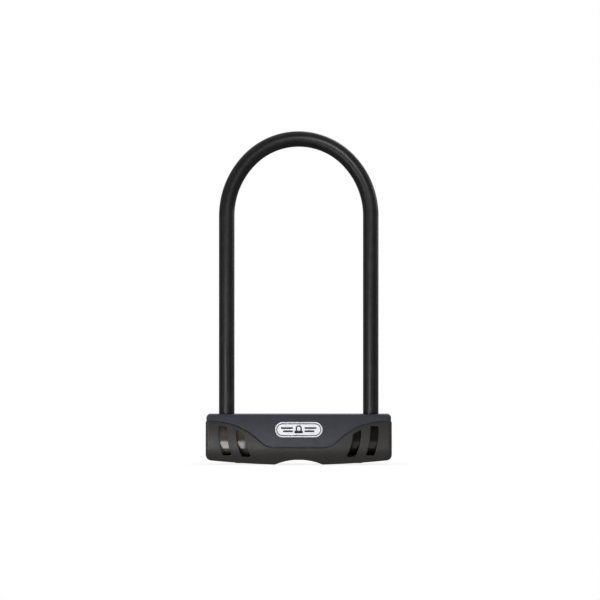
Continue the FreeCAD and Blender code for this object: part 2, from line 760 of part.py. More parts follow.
def build_covers():
    inside = hollow("cavity", "skin")
    room = case_space("case_room")
    lap = lap_block("lap", "lap_skin + lap_gap", "lap_depth")
    lap_room = lap_block("lap_room", "lap_skin", "lap_depth + lap_gap")

    skin = combine("Cut", "lower_with_arch", lower_skin(), arch_tool())
    shell = combine("Cut", "lower_shell", skin, inside)
    shell = combine("Cut", "lower_lapped", shell, lap_room)
    ribs = rib_slabs("low_ribs", ("rib_a", "rib_b", "rib_c"), "0", "low_rib_top")
    ribs = combine("Common", "low_ribs_in", ribs, hollow("low_rib_space", "skin / 2"))
    bosses = [
        cylinder(f"boss_{word}", "boss_radius", "boss_low", "case_low + past", f"{side} * screw_x")
        for side, word in SIDES
    ]
    supports = combine("Cut", "low_inside", fuse("low_supports", ribs, *bosses), room)
    holes = [cylinder("nose_hole", "nose_radius + nose_gap", "0", "arch_floor + past")]
    holes.append(screw_seats())
    lower = fuse("lower_filled", shell, supports)
    node(combine("Cut", "lower_cover_cut", lower, fuse("lower_holes", *holes)), "lower_cover")

    upper = cover_block("upper_skin", "upper_inset", upper_outline())
    rim = value("wave_high + seam_gap") + 0.1
    soften(upper, "Fillet", "edge_round", lambda e: on_front_outline(e, lambda p: p.z > rim))
    soften(upper, "Fillet", "rim_round", lambda e: on_seam(e, "seam_gap"))
    shell = combine("Cut", "upper_shell", fuse("upper_with_lap", upper, lap), inside)
    ribs = rib_slabs("high_ribs", ("rib_d", "rib_e"), "high_rib_low", "cover_top - skin / 2")
    ribs = combine("Common", "high_ribs_in", ribs, hollow("high_rib_space", "skin / 2"))
    ribs = combine("Cut", "high_ribs_cut", ribs, room)
    reach = ("seal_radius + seal_gap", "high_rib_low - past", "cover_top + past")
    holes = [
        cylinder(f"leg_hole_{word}", *reach, f"{side} * leg_pitch / 2") for side, word in SIDES
    ]
    holes.append(badge_plate("badge_seat", "badge_gap", "-badge_proud - 3 * past", "badge_sunk"))
    upper = fuse("upper_filled", shell, ribs)
    node(combine("Cut", "upper_cover_cut", upper, fuse("upper_holes", *holes)), "upper_cover")


# ---- badge ----------------------------------------------------------------------------------


BADGE_LEAN = "asin((badge_level - bulge_level) / (bulge_high_radius - upper_inset))"
BADGE_FACE = (
    "cover_depth / 2 - bulge_high_radius"
    " + sqrt((bulge_high_radius - upper_inset) ^ 2 - (badge_level - bulge_level) ^ 2)"
)


def lean_on_cover(body):
    """Moves a body made round the origin onto the upper cover's sloping front."""
    body.Placement.Rotation = FreeCAD.Rotation(Vector(-1, 0, 0), 1)
    drive(body, "Placement.Rotation.Angle", BADGE_LEAN)
    drive(body, "Placement.Base.y", f"-({BADGE_FACE})")
    drive(body, "Placement.Base.z", "badge_level")
    doc.recompute()


def badge_plate(name, grow, front, back):
    """The badge's rounded rectangle, grown a little, on the upper cover's front."""
    body = new_body(name)
    half_height = f"(badge_height / 2 + {grow})"
    half_length = f"(badge_length / 2 + {grow})"
    outline = rounded_box(half_length, negate(half_height), half_height, "badge_corner")
    extrude(body, "XZ", front, back, outline)
    lean_on_cover(body)
    return body


def build_badge():
    """The badge: a plate with a raised rim round a lower field."""
    body = badge_plate("badge_body", "0", "-badge_proud", "badge_sunk - badge_back_gap")
    half_height = "(badge_height / 2 - badge_rim)"
    field = rounded_box(
        "(badge_length / 2 - badge_rim)", negate(half_height), half_height, "(badge_corner - badge_rim)"
    )
    cut(body, "XZ", "-badge_proud - past", "-badge_proud + badge_field", field)
    face = value("-badge_proud")
    at_face = lambda e: all(abs(v.Y - face) < 1e-3 for v in e.Vertexes)
    soften(body, "Chamfer", "badge_chamfer", at_face)
    node(body, "badge")


# ---- case and the blocks in it --------------------------------------------------------------

BOTH_SIDES = ("-1", "1")


def pair_of_circles(x, y, radius):
    """Two circles, mirror images about the middle of the lock."""
    return [circle(f"{side} * {x}", y, radius) for side in BOTH_SIDES]


def build_case():
    body = new_body("case_body")
    extrude(body, "YZ", "-case_length / 2", "case_length / 2", oval("0"), oval("case_wall"))
    legs = pair_of_circles("leg_pitch / 2", "0", "leg_hole_radius")
    cut(body, "XY", "case_high - case_radius", "case_high + past", *legs)
    barrel = circle("0", "0", "barrel_radius + barrel_gap")
    cut(body, "XY", "case_low - past", "case_low + case_radius", barrel)
    screws = pair_of_circles("screw_x", "0", "screw_radius + screw_gap")
    cut(body, "XY", "case_low - past", "case_low + case_wall + past", *screws)
    pins = pair_of_circles("socket_pin_x", "socket_pin_level", "socket_pin_radius")
    pins += pair_of_circles("barrel_pin_x", "barrel_pin_level", "barrel_pin_radius")
    cut(body, "XZ", "-case_radius - past", "case_radius + past", *pins)
    node(body, "lock_case")


def build_end_plug(side, name):
    """The plug that closes one end of the case, with a chamfered outer rim."""
    body = new_body(f"{name}_body")
    near = f"{side} * (case_length / 2 - plug_thick)"
    far = f"{side} * case_length / 2"
    extrude(body, "YZ", *sorted((near, far), key=value), oval("case_wall + plug_gap"))
    face = value(far)
    soften(body, "Chamfer", "plug_chamfer", lambda e: all(abs(v.X - face) < 1e-3 for v in e.Vertexes))
    node(body, name)


def bolt_channel(low):
    half = "(bolt_width / 2 + bolt_gap)"
    return box(negate(half), low, half, "bolt_high + bolt_gap")


def build_socket(side, name):
    """The block that takes one foot of the shackle, with a channel for its bolt."""
    body = new_body(f"{name}_body")
    inner = f"{side} * socket_inner"
    outer = f"{side} * (case_length / 2 - plug_thick - fill_gap)"
    middle = f"{side} * leg_pitch / 2"
    extrude(body, "YZ", *sorted((inner, outer), key=value), oval("case_wall + fill_gap"))
    cut(body, "XY", "socket_floor", "case_high", circle(middle, "0", "leg_hole_radius"))
    mouth = f"{inner} - ({side}) * past"
    cut(body, "YZ", *sorted((mouth, middle), key=value), bolt_channel("bolt_low - bolt_gap"))
    pin = circle(f"{side} * socket_pin_x", "socket_pin_level", "socket_pin_radius")
    cut(body, "XZ", "-case_radius", "case_radius", pin)
    thread = circle(f"{side} * screw_x", "0", "screw_radius")
    cut(body, "XY", "case_low", "screw_head + screw_length + screw_room", thread)
    node(body, name)


def build_block():
    """The cast block that holds the barrel and guides both bolts over the cam."""
    body = new_body("block_body")
    extrude(body, "YZ", "-block_half", "block_half", oval("case_wall + fill_gap"))
    cut(body, "XY", "case_low", "barrel_high + past", circle("0", "0", "barrel_radius + barrel_gap"))
    bay = box("-cam_bay_half", "barrel_high", "cam_bay_half", "cam_high + cam_bay_gap")
    cut(body, "XZ", "-case_radius", "case_radius", bay)
    cut(body, "YZ", "-block_half - past", "block_half + past", bolt_channel("cam_high"))
    pins = pair_of_circles("barrel_pin_x", "barrel_pin_level", "barrel_pin_radius")
    cut(body, "XZ", "-case_radius", "case_radius", *pins)
    node(body, "mechanism_block")


def dowel(name, radius, half_length, x, level):
    """A pin that runs front to back, chamfered at both ends."""
    body = new_body(name)
    extrude(body, "XZ", negate(half_length), half_length, circle(x, level, radius))
    soften(body, "Chamfer", "pin_chamfer", lambda e: len(e.Vertexes) == 1)
    return body


def both_sides(name, thing):
    """The thing and its mirror image about the middle of the lock."""
    other = doc.addObject("Part::Mirroring", f"{name}_mirrored")
    other.Source = thing
    other.Normal = Vector(1, 0, 0)
    made = doc.addObject("Part::Compound", name)
    made.Links = [thing, other]
    doc.recompute()
    return made


def build_pins():
    half = "case_radius - socket_pin_sunk"
    for side, word in SIDES:
        x = f"{side} * socket_pin_x"
        name = f"{word}_socket_pin"
        node(dowel(f"{name}_body", "socket_pin_radius", half, x, "socket_pin_level"), name)
    one = dowel("barrel_pin", "barrel_pin_radius", "barrel_pin_half", "barrel_pin_x", "barrel_pin_level")
    node(both_sides("barrel_pin_pair", one), "barrel_pins")


def build_seal(side, name):
    """A rubber seal round one leg, standing a little proud of the upper cover."""
    body = new_body(f"{name}_body")
    x = f"{side} * leg_pitch / 2"
    rings = circle(x, "0", "seal_radius"), circle(x, "0", "seal_bore")
    extrude(body, "XY", "seal_low", "seal_high", *rings)
    top = value("seal_high")
    soften(body, "Fillet", "seal_lip", lambda e: abs(middle_of(e).z - top) < 1e-3)
    node(body, name)


def hexagon(radius):
    """A regular hexagon round the origin, by the distance from there to a corner."""
    return loop(*((f"{radius} * cos({60 * i})", f"{radius} * sin({60 * i})") for i in range(6)))


def build_cover_screws():
    """Two countersunk screws that hold the lower cover up against the socket blocks."""
    body = new_body("cover_screw")
    tip = "screw_head + screw_length"
    cone_low = "screw_head + screw_land"
    profile = loop(
        ("0", "screw_head"),
        ("screw_head_radius", "screw_head"),
        ("screw_head_radius", cone_low),
        ("screw_radius", f"{cone_low} + screw_head_radius - screw_radius"),
        ("screw_radius", f"{tip} - screw_point"),
        ("screw_radius - screw_point", tip),
        ("0", tip),
    )
    turn(body, profile)
    cut(body, "XY", "screw_head - past", "screw_head + screw_drive_depth", hexagon("screw_drive"))
    drive(body, "Placement.Base.x", "screw_x")
    node(both_sides("cover_screw_pair", body), "cover_screws")


def screw_seats():
    """What the cover screws need cleared in the lower cover."""
    body = new_body("screw_seat")
    wide, narrow = "(screw_head_radius + screw_gap)", "(screw_radius + screw_gap)"
    cone_low = "screw_head + screw_land"
    profile = loop(
        ("0", "-past"),
        (wide, "-past"),
        (wide, cone_low),
        (narrow, f"{cone_low} + {wide} - {narrow}"),
        (narrow, "case_low + 2 * past"),
        ("0", "case_low + 2 * past"),
    )
    turn(body, profile)
    drive(body, "Placement.Base.x", "screw_x")
    return both_sides("screw_seats", body)


# ---- wafer cylinder -------------------------------------------------------------------------


def strip(half_width, radius, upright):
    """A straight strip through the middle whose two ends are rounded about the middle."""
    reach = f"sqrt(({radius}) ^ 2 - ({half_width}) ^ 2)"
    if upright:
        right = [(half_width, negate(reach)), (half_width, reach, radius, 1)]
        left = [(negate(half_width), reach), (negate(half_width), negate(reach), radius, 1)]
        return loop(*right, *left)
    top = [(reach, half_width), (negate(reach), half_width, radius, 1)]
    bottom = [(negate(reach), negate(half_width)), (reach, negate(half_width), radius, 1)]
    return loop(*top, *bottom)


def build_barrel():
    """The barrel: a stepped tube with four grooves that the wafers can spring into."""
    body = new_body("barrel_body")
    counterbore = "core_head_radius + core_head_gap"
    step = "core_step + core_head_gap"
    profile = loop(
        (counterbore, "nose_low"),
        ("nose_radius - nose_chamfer", "nose_low"),
        ("nose_radius", "nose_low + nose_chamfer"),
        ("nose_radius", "nose_high"),
        ("barrel_radius", "nose_high"),
        ("barrel_radius", "barrel_high"),
        ("bore_radius", "barrel_high"),
        ("bore_radius", step),
        (counterbore, step),
    )
    turn(body, profile)
    for upright in (True, False):
        groove = strip("groove_width / 2", "groove_radius", upright)
        cut(body, "XY", "groove_low", "barrel_high + past", groove)
    pins = pair_of_circles("barrel_pin_x", "barrel_pin_level", "barrel_pin_radius")
    cut(body, "XZ", "-case_radius", "case_radius", *pins)
    node(body, "barrel")


def ward(side, place):
    """One side of the keyway, from its front end to its back end, with a ward reaching in."""
    wall, tip = f"{side} * keyway_width / 2", f"{side} * (keyway_width / 2 - keyway_ward)"
    reach = "keyway_height / 2"
    return [
        (wall, negate(reach)),
        (wall, f"{place} - ward_half"),
        (tip, f"{place} - ward_tip_half"),
        (tip, f"{place} + ward_tip_half"),
        (wall, f"{place} + ward_half"),
        (wall, reach),
    ]


def keyway():
    """The keyway's outline: a long slot with one ward reaching in from each side."""
    return loop(*ward("1", "ward_right"), *reversed(ward("-1", "ward_left")))


def spring_pocket(side):
    """Room for one wafer's lug, its travel and its spring, on the +X or the -X side."""
    near, far = f"{side} * (wafer_width / 2 - pocket_lap)", f"{side} * pocket_reach"
    back, front = f"{side} * -pocket_back", f"{side} * (lug_half + wafer_travel + pocket_room)"
    x = sorted((near, far), key=value)
    y = sorted((back, front), key=value)
    return box(x[0], y[0], x[1], y[1])


def build_core():
    """The turning core: head, keyway, wafer slots with spring pockets, and a square tail."""
    body = new_body("core_body")
    profile = loop(
        ("0", "core_low"),
        ("core_head_radius", "core_low"),
        ("core_head_radius", "core_step"),
        ("core_radius", "core_step"),
        ("core_radius", "core_high"),
        ("0", "core_high"),
    )
    turn(body, profile)
    low_face = value("core_low")
    soften(body, "Chamfer", "nose_chamfer", lambda e: abs(middle_of(e).z - low_face) < 1e-3)
    half = "tail_side / 2"
    extrude(body, "XY", "core_high - past / 2", "tail_high", box(negate(half), negate(half), half, half))
    cut(body, "XY", "core_low - past", "keyway_high", keyway())
    room = "(wafer_thick / 2 + wafer_gap)"
    slot = strip("wafer_width / 2 + wafer_gap", "core_radius + past", True)
    first = cut(body, "XY", f"wafer_first - {room}", f"wafer_first + {room}", slot)
    pattern(body, first, "Z_Axis", "wafer_count", "wafer_pitch")
    for side, skipped, count in (("1", 0, "4"), ("-1", 1, "3")):
        level = f"wafer_first + {skipped} * wafer_pitch"
        pocket = cut(body, "XY", f"{level} - {room}", f"{level} + {room}", spring_pocket(side))
        pattern(body, pocket, "Z_Axis", count, "2 * wafer_pitch")
    thread = circle("0", "0", "cam_screw_radius")
    cut(body, "XY", "cam_screw_low - cam_screw_room", "tail_high + past", thread)
    pins = pair_of_circles("drill_pin_x", "0", "drill_pin_radius")
    cut(body, "XY", "core_low - past", "drill_pin_high", *pins)
    node(body, "core_plug")


def build_core_pins():
    """Two hardened pins set in the core's face, one each side of the keyway."""
    body = new_body("core_pin")
    section = circle("drill_pin_x", "0", "drill_pin_radius")
    extrude(body, "XY", "core_low + drill_pin_sunk", "drill_pin_high", section)
    soften(body, "Chamfer", "drill_pin_chamfer", lambda e: len(e.Vertexes) == 1)
    node(both_sides("core_pin_pair", body), "core_pins")


def build_wafer(number, shift):
    """One wafer, its key opening shifted to its own height in the lock's code."""
    body = new_body(f"wafer_{number}_body")
    low, high = "-wafer_thick / 2", "wafer_thick / 2"
    extrude(body, "XY", low, high, strip("wafer_width / 2", "wafer_radius", True))
    extrude(body, "XY", low, high, box("0", "-lug_half", "lug_reach", "lug_half"))
    reach = "wafer_eye_height / 2"
    eye_low, eye_high = f"-{reach} + {shift}", f"{reach} + {shift}"
    eye = rounded_box("(wafer_eye_width / 2)", eye_low, eye_high, "wafer_eye_corner")
    cut(body, "XY", f"{low} - past", f"{high} + past", eye)
    if number % 2 == 0:
        body.Placement.Rotation = FreeCAD.Rotation(Vector(0, 0, 1), 180)
    drive(body, "Placement.Base.z", f"wafer_first + {number - 1} * wafer_pitch")
    doc.recompute()
    node(body, f"wafer_{number}")


def build_springs():
    """The wafer springs: small coils lying behind the wafers' lugs."""
    wire, coil = value("spring_wire"), value("spring_radius")
    start, end = value("-pocket_back") + wire, value("-lug_half") - wire
    pitch = (end - start) / value("spring_turns")
    helix = Part.Wire(Part.makeHelix(pitch, end - start, coil))
    section = Part.Wire(Part.makeCircle(wire, Vector(coil, 0, 0), Vector(0, 1, 0)))
    spring = helix.makePipeShell([section], True, True)
    spring.rotate(Vector(0, 0, 0), Vector(1, 0, 0), -90)
    spring.translate(Vector(value("spring_x"), start, 0))
    springs = []
    for i in range(int(value("wafer_count"))):
        one = spring.copy()
        if i % 2:
            one.rotate(Vector(0, 0, 0), Vector(0, 0, 1), 180)
        one.translate(Vector(0, 0, value("wafer_first") + i * value("wafer_pitch")))
        springs.append(one)
    made = doc.addObject("Part::Feature", "spring_row")
    made.Shape = Part.Compound(springs)
    node(made, "wafer_springs")


# ---- cam and bolts --------------------------------------------------------------------------

GROOVE_STATIONS = 4
GROOVE_RISE = "(bolt_travel / (pi / 2))"


def spiral_point(side, station, offset):
    """A point beside the spiral groove's centreline, in the cam's frame."""
    angle = f"({90 / GROOVE_STATIONS} * {station})"
    radius = f"(peg_start + bolt_travel * {station / GROOVE_STATIONS})"
    slant = f"sqrt({radius} ^ 2 + {GROOVE_RISE} ^ 2)"
    across_x = f"({radius} * cos({angle}) + {GROOVE_RISE} * sin({angle})) / {slant}"
    across_y = f"({radius} * sin({angle}) - {GROOVE_RISE} * cos({angle})) / {slant}"
    x = f"{side} * ({radius} * cos({angle}) + {offset} * {across_x})"
    y = f"{side} * -({radius} * sin({angle}) + {offset} * {across_y})"
    return x, y


def spiral_bend(station, offset):
    """The bend of the offset spiral halfway to the next station."""
    radius = f"(peg_start + bolt_travel * {(station + 0.5) / GROOVE_STATIONS})"
    top = f"({radius} ^ 2 + {GROOVE_RISE} ^ 2) ^ 1.5"
    return f"({top} / ({radius} ^ 2 + 2 * {GROOVE_RISE} ^ 2) + {offset})"


def spiral_groove(side):
    """The outline of one spiral groove, without its round ends."""
    half = "(peg_radius + groove_play)"
    outer, inner = [], []
    for station in range(GROOVE_STATIONS + 1):
        outer.append([*spiral_point(side, station, half)])
        inner.append([*spiral_point(side, station, f"-1 * {half}")])
    for station in range(GROOVE_STATIONS):
        outer[station] += [spiral_bend(station, half), -1]
        inner[station + 1] += [spiral_bend(station, f"-1 * {half}"), 1]
    return loop(*outer, *reversed(inner))


def build_cam():
    """The cam: a hub on the core's square tail and a plate with two spiral grooves."""
    body = new_body("cam_body")
    extrude(body, "XY", "cam_low", "cam_high", circle("0", "0", "cam_radius"))
    extrude(body, "XY", "hub_low", "cam_low + past / 2", circle("0", "0", "hub_radius"))
    half = "(tail_side / 2 + tail_gap)"
    tail = box(negate(half), negate(half), half, half)
    cut(body, "XY", "hub_low - past", "tail_high + tail_gap", tail)
    for side in BOTH_SIDES:
        cut(body, "XY", "groove_floor", "cam_high + past", spiral_groove(side))
        for station in (0, GROOVE_STATIONS):
            end = circle(*spiral_point(side, station, "0"), "peg_radius + groove_play")
            cut(body, "XY", "groove_floor", "cam_high + past", end)
    hole = circle("0", "0", "cam_screw_radius + cam_screw_gap")
    cut(body, "XY", "tail_high - past", "cam_high + past", hole)
    rim = "(cam_screw_head + cam_screw_gap / 2)"
    seat = loop(("0", "cam_high"), (rim, "cam_high"), ("0", f"cam_high - {rim}"))
    turn(body, seat, groove=True)
    node(body, "drive_cam")


def build_cam_screw():
    body = new_body("cam_screw_body")
    face = "cam_high - cam_screw_gap / 2"
    neck = f"{face} - (cam_screw_head - cam_screw_radius)"
    profile = loop(
        ("0", "cam_screw_low"),
        ("cam_screw_radius - cam_screw_point", "cam_screw_low"),
        ("cam_screw_radius", "cam_screw_low + cam_screw_point"),
        ("cam_screw_radius", neck),
        ("cam_screw_head", face),
        ("0", face),
    )
    turn(body, profile)
    cut(body, "XY", f"{face} - cam_screw_drive_depth", f"{face} + past", hexagon("cam_screw_drive"))
    node(body, "cam_screw")


def build_bolt(side, name):
    """One locking bolt, drawn back, with a hole for its drive peg."""
    body = new_body(f"{name}_body")
    ends = sorted((f"{side} * bolt_inner", f"{side} * bolt_tip"), key=value)
    extrude(body, "YZ", *ends, box("-bolt_width / 2", "bolt_low", "bolt_width / 2", "bolt_high"))
    tip = value(f"{side} * bolt_tip")
    soften(body, "Chamfer", "bolt_nose", lambda e: all(abs(v.X - tip) < 1e-3 for v in e.Vertexes))
    peg = circle(f"{side} * peg_start", "0", "peg_radius")
    cut(body, "XY", "bolt_low - past", "peg_high", peg)
    node(body, name)


def build_peg(side, name):
    """The peg that hangs from a bolt into the cam's spiral groove."""
    body = new_body(f"{name}_body")
    extrude(body, "XY", "peg_low", "peg_high", circle(f"{side} * peg_start", "0", "peg_radius"))
    low = value("peg_low")
    soften(body, "Chamfer", "peg_chamfer", lambda e: abs(middle_of(e).z - low) < 1e-3)
    node(body, name)


# ---- shackle --------------------------------------------------------------------------------

BEND_COS = "((shoulder_radius - leg_pitch / 2) / (shoulder_radius - crown_radius))"
BEND_SIN = f"sqrt(1 - {BEND_COS} ^ 2)"
CROWN_LEVEL = "(cover_top + inner_height + sleeve_radius)"
SPRING_LINE = f"({CROWN_LEVEL} - crown_radius - (shoulder_radius - crown_radius) * {BEND_SIN})"


def shackle_path(low):
    """The bar's centreline: a leg, a shoulder, the crown, a shoulder and a leg."""
    half = "leg_pitch / 2"
    switch_x = f"crown_radius * {BEND_COS}"
    switch_z = f"{SPRING_LINE} + shoulder_radius * {BEND_SIN}"
    path = [
        (negate(half), low),
        (negate(half), SPRING_LINE, "shoulder_radius", -1),
        (negate(switch_x), switch_z, "crown_radius", -1),
        (switch_x, switch_z, "shoulder_radius", -1),
        (half, SPRING_LINE),
        (half, low),
    ]
    return loop(*path, closed=False)


def sweep(body, low, *loops):
    """Sweeps a section that stands on the left leg along the shackle's centreline."""
    path = new_sketch(body, f"{body.Name}_path", "XZ")
    shackle_path(low)(path)
    section = new_sketch(body, f"{body.Name}_section", "XY", low)
    for draw in loops:
        draw(section)
    feature = body.newObject("PartDesign::AdditivePipe", f"{body.Name}_pipe")
    feature.Profile = section
    feature.Spine = (path, [f"Edge{i + 1}" for i in range(path.GeometryCount)])
    doc.recompute()
    return feature


def build_bar():
    """The hardened bar: both feet chamfered and notched on their inner sides."""
    body = new_body("bar_body")
    sweep(body, "foot_low", circle("-leg_pitch / 2", "0", "bar_radius"))
    foot = value("foot_low")
    soften(body, "Chamfer", "foot_chamfer", lambda e: abs(middle_of(e).z - foot) < 1e-3)
    floor = "(leg_pitch / 2 - bar_radius + notch_depth)"
    mouth = "(leg_pitch / 2 - bar_radius - past)"
    notches = (
        box(mouth, "notch_low", floor, "notch_high"),
        box(negate(floor), "notch_low", negate(mouth), "notch_high"),
    )
    cut(body, "XZ", "-bar_radius - past", "bar_radius + past", *notches)
    node(body, "shackle_bar")


def build_sleeve():
    """The vinyl sleeve over the bar above the crossbar."""
    body = new_body("sleeve_body")
    x = "-leg_pitch / 2"
    sweep(body, "sleeve_low", circle(x, "0", "sleeve_radius"), circle(x, "0", "bar_radius + sleeve_gap"))
    low, outside = value("sleeve_low"), value("sleeve_radius")
    rims = lambda e: abs(middle_of(e).z - low) < 1e-3 and abs(e.Curve.Radius - outside) < 1e-3
    soften(body, "Fillet", "sleeve_lip", rims)
    node(body, "shackle_sleeve")


# ---- build, check and write -----------------------------------------------------------------

def check():
    """Stops the build if any object has failed or any sub-part has no sound solid."""
    doc.recompute()
    for thing in doc.Objects:
        if {"Invalid", "Error"} & set(thing.State):
            raise ValueError(f"{thing.Name} failed: {thing.State}")
    for thing in nodes:
        shape = thing.Shape
        if shape.isNull() or not shape.isValid() or not shape.Solids:
            raise ValueError(f"{thing.Label} has no sound solid")
        print(f"{thing.Label}: {len(shape.Solids)} solid(s), {shape.Volume:.1f} mm3, {shape.BoundBox}")


def write():
    os.makedirs("parts", exist_ok=True)
    for thing in nodes:
        thing.Shape.exportStep(f"parts/{thing.Label}.step")


def build():
    fill_sheet()
    build_covers()
    build_badge()
    build_case()
    for side, word in SIDES:
        build_end_plug(side, f"{word}_end_plug")
        build_socket(side, f"{word}_socket")
        build_seal(side, f"{word}_leg_seal")
        build_bolt(side, f"{word}_bolt")
        build_peg(side, f"{word}_bolt_peg")
    build_block()
    build_pins()
    build_cover_screws()
    build_barrel()
    build_core()
    build_core_pins()
    for number, shift in enumerate(WAFER_CODE, 1):
        build_wafer(number, shift)
    build_springs()
    build_cam()
    build_cam_screw()
    build_bar()
    build_sleeve()
    check()
    write()


build()
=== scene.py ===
"""Looks for the U-lock: procedural finishes, the soft pieces, the badge's marks and the studio."""

import json
import math

import bpy
from mathutils import Matrix, Vector


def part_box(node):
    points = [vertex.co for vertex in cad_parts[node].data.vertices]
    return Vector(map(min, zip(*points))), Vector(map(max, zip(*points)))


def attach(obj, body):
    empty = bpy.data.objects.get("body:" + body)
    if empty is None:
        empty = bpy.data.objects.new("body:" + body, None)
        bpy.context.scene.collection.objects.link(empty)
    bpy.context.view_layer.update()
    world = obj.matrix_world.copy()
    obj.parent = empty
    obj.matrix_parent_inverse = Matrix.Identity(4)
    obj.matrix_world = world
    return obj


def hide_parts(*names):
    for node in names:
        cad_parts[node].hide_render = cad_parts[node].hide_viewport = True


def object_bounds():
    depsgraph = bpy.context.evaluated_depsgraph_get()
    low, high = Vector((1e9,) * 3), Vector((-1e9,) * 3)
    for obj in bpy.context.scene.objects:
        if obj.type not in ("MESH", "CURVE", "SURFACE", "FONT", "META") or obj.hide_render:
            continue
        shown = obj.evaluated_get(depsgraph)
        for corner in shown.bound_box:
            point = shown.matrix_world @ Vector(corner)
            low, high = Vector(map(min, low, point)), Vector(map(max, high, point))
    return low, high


MM = 0.001
TURN = 2 * math.pi

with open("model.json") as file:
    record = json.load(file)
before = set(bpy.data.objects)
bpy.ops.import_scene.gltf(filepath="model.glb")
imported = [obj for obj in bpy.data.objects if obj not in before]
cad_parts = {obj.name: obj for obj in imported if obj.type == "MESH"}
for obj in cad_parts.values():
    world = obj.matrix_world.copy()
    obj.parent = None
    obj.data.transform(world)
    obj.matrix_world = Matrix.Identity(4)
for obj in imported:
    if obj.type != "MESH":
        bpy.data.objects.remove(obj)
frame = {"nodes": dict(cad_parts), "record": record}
record = frame["record"]
cad_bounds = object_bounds()


# ---- finishes -------------------------------------------------------------------------------


class Nodes:
    """A node tree that is built in short steps."""

    def __init__(self, tree):
        self.tree = tree

    def add(self, kind, **inputs):
        """A new node. An input's name has an underscore for each space."""
        node = self.tree.nodes.new("ShaderNode" + kind)
        for name, wanted in inputs.items():
            self.put(node, name.replace("_", " "), wanted)
        return node

    def put(self, node, name, wanted):
        """Sets an input to a value, or links it to another node's output."""
        if isinstance(wanted, bpy.types.NodeSocket):
            self.tree.links.new(wanted, node.inputs[name])
        else:
            node.inputs[name].default_value = wanted

    def ramp(self, pattern, start=0.0, end=1.0, low=0.0, high=1.0):
        """The pattern, stretched so that start gives low and end gives high, and held beyond them."""
        made = self.add("MapRange", Value=pattern, From_Min=start, From_Max=end, To_Min=low, To_Max=high)
        return made.outputs["Result"]

    def product(self, one, other):
        made = self.add("Math")
        made.operation = "MULTIPLY"
        self.put(made, 0, one)
        self.put(made, 1, other)
        return made.outputs[0]

    def dot(self, one, other):
        """The cosine between two directions."""
        made = self.add("VectorMath")
        made.operation = "DOT_PRODUCT"
        self.put(made, 0, one)
        self.put(made, 1, other)
        return made.outputs["Value"]


class Look(Nodes):
    """A procedural finish. Its patterns lie in the lock's own frame, and their sizes are in mm."""

    FINE_SHARE = 0.55  # how much of a noise's finer detail shows

    def __init__(self, name, colour, roughness, metallic=0.0):
        self.material = bpy.data.materials.new(name)
        self.material.use_nodes = True
        super().__init__(self.material.node_tree)
        self.shader = self.tree.nodes["Principled BSDF"]
        self.place = self.add("TexCoord").outputs["Object"]
        self.normal = None
        self.put(self.shader, "Base Color", (*colour, 1.0))
        self.put(self.shader, "Roughness", roughness)
        self.put(self.shader, "Metallic", metallic)

    def noise(self, size, detail=3.0, stretch=(1, 1, 1)):
        """Cloudy grey with features of this size. A stretch below 1 draws them out along that axis."""
        place = self.add("Mapping", Vector=self.place, Scale=stretch).outputs["Vector"]
        made = self.add("TexNoise", Vector=place, Scale=1 / (size * MM), Detail=detail)
        self.put(made, "Roughness", self.FINE_SHARE)
        return made.outputs["Fac"]

    def cells(self, size):
        """Grey grains of this size, dark in the middle of each."""
        made = self.add("TexVoronoi", Vector=self.place, Scale=1 / (size * MM))
        return made.outputs["Distance"]

    def edges(self, radius):
        """A mask that is 1 on edges sharper than this radius."""
        rounded = self.add("Bevel", Radius=radius * MM)
        rounded.samples = 6
        plain = self.add("NewGeometry").outputs["Normal"]
        flat, sharp = 0.995, 0.9
        return self.ramp(self.dot(rounded.outputs["Normal"], plain), flat, sharp)

    def painted_crease_shade(self, reach):
        """A painted-shade mask: 1 deep in seams and corners, where shade falls, and fading over this reach.
        """
        shade = self.add("AmbientOcclusion", Distance=reach * MM)
        shade.samples = 4
        half_open, buried = 0.75, 0.25
        return self.ramp(shade.outputs["AO"], half_open, buried)

    def tint(self, mask, colour):
        """Paints this colour over what is there, where the mask is bright."""
        mix = self.add("Mix")
        mix.data_type = "RGBA"
        under, over = (i for i in mix.inputs if i.type == "RGBA")
        base = self.shader.inputs["Base Color"]
        self.tree.links.new(mask, mix.inputs["Factor"])
        if base.links:
            self.tree.links.new(base.links[0].from_socket, under)
        else:
            under.default_value = base.default_value
        over.default_value = (*colour, 1.0)
        self.tree.links.new(next(o for o in mix.outputs if o.type == "RGBA"), base)
        return self

    def gloss(self, pattern, low, high):
        """Roughness that follows the pattern from low to high."""
        self.put(self.shader, "Roughness", self.ramp(pattern, low=low, high=high))
        return self

    def relief(self, pattern, depth):
        """Raises the surface by this many mm where the pattern is bright."""
        made = self.add("Bump", Height=pattern, Distance=depth * MM)
        if self.normal:
            self.put(made, "Normal", self.normal)
        self.normal = made.outputs["Normal"]
        self.put(self.shader, "Normal", self.normal)
        return self


def scaled(colour, factor):
    return tuple(min(1.0, part * factor) for part in colour)


def moulded_plastic(name, colour, worn, roughness):
    """Satin plastic with the fine grain of an etched mould, paler on its edges, and with shade painted dark
    into its seams and corners.
    """
    look = Look(name, colour, roughness)
    clouds = look.noise(9.0, detail=5.0)
    grain = look.noise(0.28, detail=2.0)
    pits = look.cells(0.55)
    look.tint(look.ramp(clouds, 0.42, 0.68), scaled(colour, 0.78))
    look.tint(look.product(look.ramp(grain, 0.5, 0.75), look.ramp(clouds, 0.2, 0.6)), worn)
    look.tint(look.edges(0.5), worn)
    # Painted shade: the colour darkens in seams and corners, where shade falls.
    look.tint(look.painted_crease_shade(1.2), scaled(colour, 0.3))
    look.gloss(clouds, roughness - 0.06, roughness + 0.09)
    return look.relief(grain, 0.022).relief(pits, 0.012)


def cover_slate():
    return moulded_plastic("cover_slate", (0.091, 0.093, 0.124), (0.145, 0.145, 0.17), 0.42)


